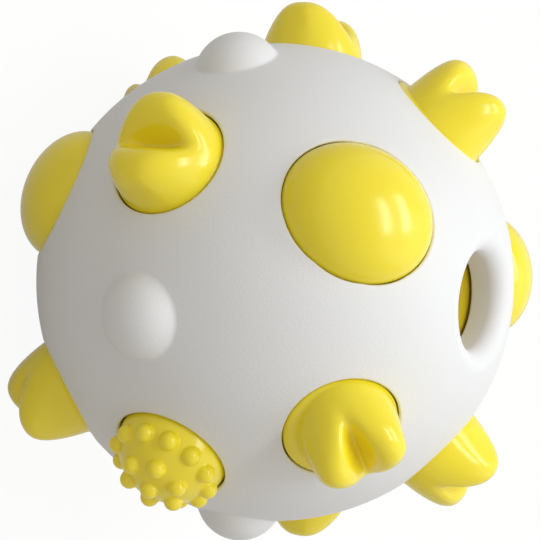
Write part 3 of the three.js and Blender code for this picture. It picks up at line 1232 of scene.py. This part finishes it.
@dataclass
class InnerBall:
    """The soft hollow ball that backs the knobs: a collar at each end, a soft pad behind each knob."""

    radius: float = 28.52 * MM
    wall: float = 4.0 * MM
    collar: float = 11.1 * MM
    collar_top: float = 32.2 * MM
    collar_foot: float = 0.3 * MM
    collar_step: float = 0.4 * MM
    hole: float = 4.5 * MM
    edge: float = 0.5 * MM
    pocket: float = 7.5 * MM
    pocket_floor: float = 26.0 * MM
    pocket_room: float = 1.0 * MM
    pad: float = 5.5 * MM
    pad_gap: float = 0.02 * MM
    pad_keep: float = 0.3
    facets: int = 96
    pocket_facets: int = 64
    pad_facets: int = 48
    sharp: float = 40.0

    def wall_piece(self) -> Piece:
        """Turn the wall's section.

        Returns:
            The ball before its pockets are cut.
        """
        inner = self.radius - self.wall
        quarter = math.pi / 2
        rim = self.collar_top - self.edge
        collar_angle = math.acos((self.collar + self.collar_foot) / self.radius)
        outside = arc((0.0, 0.0), self.radius, 0.0, collar_angle, 24)
        outer_edge = arc((self.collar - self.edge, rim), self.edge, 0.0, quarter, 5)
        inner_edge = arc((self.hole + self.edge, rim), self.edge, quarter, 2 * quarter, 5)
        inside = arc((0.0, 0.0), inner, math.acos(self.hole / inner), 0.0, 24)
        foot = (self.collar, outside[-1][1] + self.collar_step)
        upper = [*outside, foot, *outer_edge, *inner_edge, *inside]
        lower = [(radius, -height) for radius, height in reversed(upper[1:-1])]
        return Bench.turn("soft_inner_ball", [*upper, *lower, upper[0]], self.facets)

    def pockets(self, ball: Piece, places: Sequence[KnobPlace]) -> None:
        """Sink a round pocket into the ball behind each knob.

        Args:
            ball: The ball in hand.
            places: The knobs.
        """
        clear = self.radius + self.pocket_room
        corner = (self.pocket - self.edge, self.pocket_floor + self.edge)
        bottom = arc(corner, self.edge, -math.pi / 2, 0.0, 4)
        profile = [(0.0, self.pocket_floor), *bottom, (self.pocket, clear), (0.0, clear)]
        tool = Bench.turn("pocket", profile, self.pocket_facets)
        for place in places:
            cutter = Bench.stand(Bench.copy(tool, "cutter"), place.matrix())
            Bench.combine(ball, cutter, "DIFFERENCE")
        Bench.scrap(tool)

    def pads(self, places: Sequence[KnobPlace], material: bpy.types.Material) -> None:
        """Stand a barrel-shaped pad in each pocket, in the shape it has before its knob presses it flat.

        Args:
            places: The knobs.
            material: The pads' rubber.
        """
        low = self.pocket_floor + self.pad_gap
        half = 0.5 * (self.radius - low)
        side = arc((self.pad - half, low + half), half, -math.pi / 2, math.pi / 2, 12)
        master = Bench.turn("pad", [(0.0, low), *side, (0.0, self.radius)], self.pad_facets)
        for place in places:
            piece = Bench.stand(Bench.copy(master, f"soft_pad_{place.node}"), place.matrix())
            Bench.dress(piece, material, Slot.INNER, self.sharp)
            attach(piece, "ball")
            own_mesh(piece)
            LOG.info("%s: %d faces", piece.name, len(piece.data.polygons))
        Bench.scrap(master)

    def build(self, places: Sequence[KnobPlace], material: bpy.types.Material) -> None:
        """Make and dress the ball with its pockets and pads.

        Args:
            places: The knobs that it backs.
            material: Its rubber.
        """
        piece = self.wall_piece()
        self.pockets(piece, places)
        Bench.dress(piece, material, Slot.INNER, self.sharp)
        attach(piece, "ball")
        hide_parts("inner_ball")
        LOG.info("%s: %d faces", piece.name, len(piece.data.polygons))
        self.pads(places, material)


@dataclass(frozen=True)
class Softbox:
    """One soft lamp, placed by the camera's axes: right, up and back."""

    name: str
    towards: tuple[float, float, float]
    distance: float
    width: float
    height: float
    power: float
    colour: Colour = (0.91, 0.955, 1.0)


@dataclass
class Studio:
    """Floor, lamps, world and the camera at the photograph's angle."""

    azimuth: float = -10.42
    elevation: float = 30.625
    roll: float = 95.41
    distance: float = 279.7 * MM
    lens: float = 110.2
    sensor: float = 36.0
    near: float = 0.01
    shift: tuple[float, float] = (-0.0095, 0.0222)
    ambient: float = 0.58
    ambient_colour: Colour = (1.0, 0.955, 0.89)
    floor_radius: float = 6.0
    floor_finish: WhiteFloor = field(default_factory=WhiteFloor)
    lamps: tuple[Softbox, ...] = (
        Softbox("strip_front", (0.735, 0.195, 0.649), 0.55, 0.08, 0.34, 0.71),
        Softbox("strip_side", (0.928, 0.238, 0.287), 0.55, 0.09, 0.34, 0.73),
        Softbox("key", (0.93, -0.25, 0.27), 0.9, 1.0, 1.0, 2.1),
    )

    def axes(self) -> Matrix:
        """The camera's turn.

        Returns:
            A matrix whose columns point to the camera's right, up and back.
        """
        around = Matrix.Rotation(math.radians(90.0 + self.azimuth), 3, "Z")
        down = Matrix.Rotation(math.radians(90.0 - self.elevation), 3, "X")
        return around @ down @ Matrix.Rotation(math.radians(self.roll), 3, "Z")

    def camera(self) -> None:
        """Put the camera at the photograph's angle."""
        bpy.ops.object.camera_add()
        camera = bpy.context.object
        camera.name = "photo_camera"
        camera.data.lens = self.lens
        camera.data.sensor_width = self.sensor
        camera.data.shift_x, camera.data.shift_y = self.shift
        camera.data.clip_start = self.near
        turn = self.axes()
        camera.matrix_world = Matrix.Translation(turn.col[2] * self.distance) @ turn.to_4x4()
        bpy.context.scene.camera = camera

    def lamp(self, box: Softbox) -> None:
        """Hang one soft lamp that faces the ball.

        Args:
            box: The lamp.
        """
        turn = self.axes()
        towards = (turn @ Vector(box.towards)).normalized()
        tall = (turn.col[1] - towards * towards.dot(turn.col[1])).normalized()
        bpy.ops.object.light_add(type="AREA")
        lamp = bpy.context.object
        lamp.name = box.name
        lamp.data.shape = "RECTANGLE"
        lamp.data.size, lamp.data.size_y = box.width, box.height
        lamp.data.energy = box.power
        lamp.data.color = box.colour
        turn = Matrix((tall.cross(towards), tall, towards)).transposed().to_4x4()
        lamp.matrix_world = Matrix.Translation(towards * box.distance) @ turn

    def world(self) -> None:
        """Grey light from all around that looks white to the camera and in reflections."""
        world = bpy.data.worlds.new("studio")
        world.use_nodes = True
        graph = Graph(world.node_tree)
        seen = graph.light_path("Is Camera Ray")
        mirrored = graph.light_path("Is Glossy Ray")
        through = graph.light_path("Is Transmission Ray")
        shown = seen.larger(mirrored).larger(through)
        colour = graph.mix(shown, self.ambient_colour, (1.0, 1.0, 1.0))
        strength = self.ambient + shown * (1.0 - self.ambient)
        light = graph.node("ShaderNodeBackground", None, {"Color": colour, "Strength": strength})
        graph.node("ShaderNodeOutputWorld", None, {"Surface": light})
        bpy.context.scene.world = world

    def floor(self, height: float) -> None:
        """Lay a round floor under the ball.

        Args:
            height: Where the ball stands.
        """
        disc = {"vertices": 96, "radius": self.floor_radius, "fill_type": "NGON"}
        circle = bpy.ops.mesh.primitive_circle_add
        floor = Bench.add("pale_floor", circle, location=(0, 0, height), **disc)
        floor.data.materials.append(self.floor_finish.make())
        floor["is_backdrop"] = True

    def build(self, height: float) -> None:
        """Set the whole studio up.

        Args:
            height: Where the ball stands.
        """
        bpy.context.scene.view_settings.view_transform = "Standard"
        self.camera()
        self.world()
        self.floor(height)
        for box in self.lamps:
            self.lamp(box)
        LOG.info("studio: %d lamps, floor at %.2f mm", len(self.lamps), height / MM)


def main() -> None:
    """Build the ball piece by piece, then the studio."""
    logging.basicConfig(level=logging.INFO, format="%(name)s %(message)s")
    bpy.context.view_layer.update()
    places = KnobPlace.all()
    Shell().build(places)
    rubber = KNOB_RUBBER.make()
    DomeKnob().build([place for place in places if place.kind is KnobKind.DOME], rubber)
    StudKnob().build([place for place in places if place.kind is KnobKind.STUD], rubber)
    forks = [place for place in places if place.kind is KnobKind.FORK]
    ForkKnob().build([place for place in forks if not place.belt], rubber)
    BeltForkKnob().build([place for place in forks if place.belt], rubber)
    # The inner ball takes the yellow darkened as painted shade for the inside of the end holes.
    InnerBall().build(places, INNER_RUBBER_WITH_PAINTED_SHADE.make())
    low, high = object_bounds()
    Studio().build(low.z)


if __name__ == "__main__":
    main()
